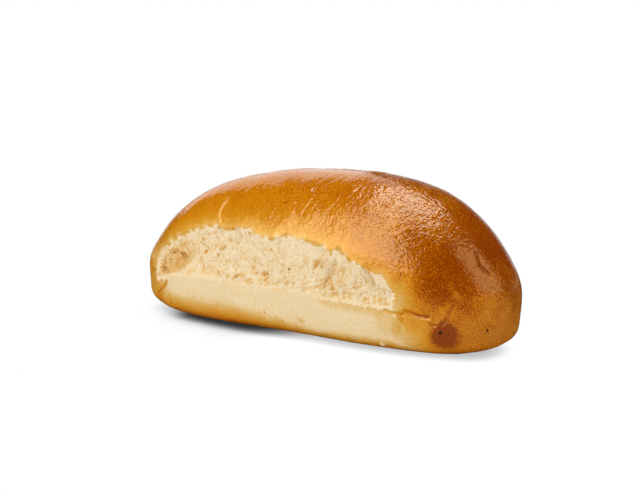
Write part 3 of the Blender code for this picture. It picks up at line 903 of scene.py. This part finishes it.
bpy.ops.object.select_all(action="DESELECT")
bpy.ops.mesh.primitive_plane_add(size=FLOOR_SIZE, location=(0, 0, 0))
table = bpy.context.active_object
table.name = "white_table"
white, tree, shader = material("matt white table")
place = object_place(tree)
rays = tree.nodes.new("ShaderNodeLightPath").outputs
distance = add(tree, "ShaderNodeVectorMath", {0: place}, operation="LENGTH").outputs["Value"]
behind = add(tree, "ShaderNodeVectorMath", {0: place, 1: FRONT}, operation="DOT_PRODUCT").outputs["Value"]
hidden = calc(tree, "MULTIPLY", rays["Is Glossy Ray"], spread(tree, behind, *DIMMED))
feed(tree, shader, {
    "Base Color": spread(tree, rays["Is Glossy Ray"], 0, 1, WHITE, MIRRORED_WHITE),
    "Emission Strength": calc(
        tree, "MULTIPLY_ADD", hidden, DIM_BY, spread(tree, distance, *GLOW), clamped=True
    ),
    "Emission Color": (1, 1, 1, 1),
    "Roughness": 0.9,
    "Specular IOR Level": 0.0,
})
along = add(tree, "ShaderNodeSeparateXYZ", {"Vector": place}).outputs["X"]
darkest = calc(
    tree, "MINIMUM",
    spread(tree, along, *FAR_FOOT, DEEP_AT[0], DEEP_AT[1], "SMOOTHSTEP"),
    spread(tree, along, *MIDDLE_FOOT, DEEP_AT[1], DEEP_AT[2], "SMOOTHSTEP"),
)
lightest = calc(
    tree, "MAXIMUM",
    spread(tree, along, *MIDDLE_FOOT, GONE_AT[0], GONE_AT[1], "SMOOTHSTEP"),
    spread(tree, along, *NEAR_FOOT, GONE_AT[1], GONE_AT[2], "SMOOTHSTEP"),
)
openness = add(tree, "ShaderNodeAmbientOcclusion", {"Distance": SHADOW_REACH}, samples=SHADOW_SAMPLES)
sheet = add(tree, "ShaderNodeEmission", {
    "Strength": spread(tree, openness.outputs["AO"], darkest, lightest, DEEPEST, 1.0, "SMOOTHSTEP"),
})
shown = add(tree, "ShaderNodeMixShader", {
    "Fac": rays["Is Camera Ray"], 1: shader.outputs["BSDF"], 2: sheet.outputs["Emission"],
})
feed(tree, tree.nodes["Material Output"], {"Surface": shown.outputs["Shader"]})
table.data.materials.append(white)

# The studio: white walls, softer in the light they give than the camera sees, and almost unseen
# in the crust's gloss. Soft boxes light the bun, and windows of their own show in its gloss.

WALL_LIGHT, WALL_SEEN, WALL_UNMIRRORED = 0.35, 1.0, -0.34

world = bpy.data.worlds.new("white studio")
bpy.context.scene.world = world
world.use_nodes = True
tree = world.node_tree
rays = tree.nodes.new("ShaderNodeLightPath").outputs
walls = spread(tree, rays["Is Camera Ray"], 0, 1, WALL_LIGHT, WALL_SEEN)
feed(tree, tree.nodes["Background"], {
    "Color": (1, 1, 1, 1),
    "Strength": calc(tree, "MULTIPLY_ADD", rays["Is Glossy Ray"], WALL_UNMIRRORED, walls),
})


def soft_box(name, centre, faces, size, radiance, mirrored=False, colour=(1, 1, 1)):
    """A soft box of a size in metres. One that is mirrored only shows in the crust's gloss."""
    light = bpy.data.lights.new(name, "AREA")
    light.shape = "RECTANGLE"
    light.size, light.size_y = size
    light.energy = radiance * math.pi * size[0] * size[1]
    light.color = colour
    box = bpy.data.objects.new(name, light)
    box.location = centre
    box.rotation_euler = Vector(faces).to_track_quat("Z", "Y").to_euler()
    box.visible_camera = False
    box.visible_diffuse = not mirrored
    box.visible_glossy = mirrored
    bpy.context.scene.collection.objects.link(box)


soft_box("front_box", (-0.36, -0.75, 0.32), (-0.40, -0.83, 0.36), (0.64, 0.64), 2.4)
soft_box("top_box", (0.02, 0.14, 0.88), (0.02, 0.16, 0.98), (0.44, 0.86), 4.2)
soft_box("end_box", (0.68, -0.32, 0.47), (0.75, -0.35, 0.52), (0.35, 0.60), 1.7)
soft_box("back_box", (-0.66, 0.96, 0.24), (-0.55, 0.80, 0.20), (1.80, 0.40), 0.8)
soft_box("front_window", (-0.41, -0.90, 0.92), (0, -1, 0), (0.82, 1.44), 7.0, True, (0.94, 0.80, 0.62))
soft_box("top_window", (-0.03, 0.02, 0.90), (0, 0, 1), (0.54, 0.87), 7.4, True)
soft_box("end_window", (0.893, -0.05, 0.72), (0.993, -0.122, 0), (1.15, 1.00), 3.8, True, (1, 0.70, 0.35))
soft_box("back_window", (-0.82, 0.60, 0.64), (-0.82, 0.60, 0.64), (0.92, 0.78), 1.4, True)
soft_box("back_wall", (-0.75, 1.30, 0.18), (-0.50, 0.87, 0), (1.90, 0.36), 0.7, True)

# The camera, at the photograph's angle and distance: round from the torn side towards the near
# end, and a little above the table.

CAMERA_TURN = math.radians(34.99)
CAMERA_RISE = math.radians(10.25)
CAMERA_AWAY = 365.05 * MM
LOOKS_AT = (-1.54 * MM, 28.75 * MM)     # along the picture and up
PICTURE_WIDTH = 641
FOCAL_PIXELS = 999.5
SENSOR_WIDTH = 36

back = Vector((
    math.sin(CAMERA_TURN) * math.cos(CAMERA_RISE),
    -math.cos(CAMERA_TURN) * math.cos(CAMERA_RISE),
    math.sin(CAMERA_RISE),
))
beside = Vector((math.cos(CAMERA_TURN), math.sin(CAMERA_TURN), 0))
lens = bpy.data.cameras.new("camera")
lens.sensor_width = SENSOR_WIDTH
lens.lens = FOCAL_PIXELS * SENSOR_WIDTH / PICTURE_WIDTH
camera = bpy.data.objects.new("camera", lens)
camera.location = beside * LOOKS_AT[0] + Vector((0, 0, LOOKS_AT[1])) + back * CAMERA_AWAY
camera.rotation_euler = back.to_track_quat("Z", "Y").to_euler()
bpy.context.scene.collection.objects.link(camera)
bpy.context.scene.camera = camera
bpy.context.scene.view_settings.view_transform = "Standard"
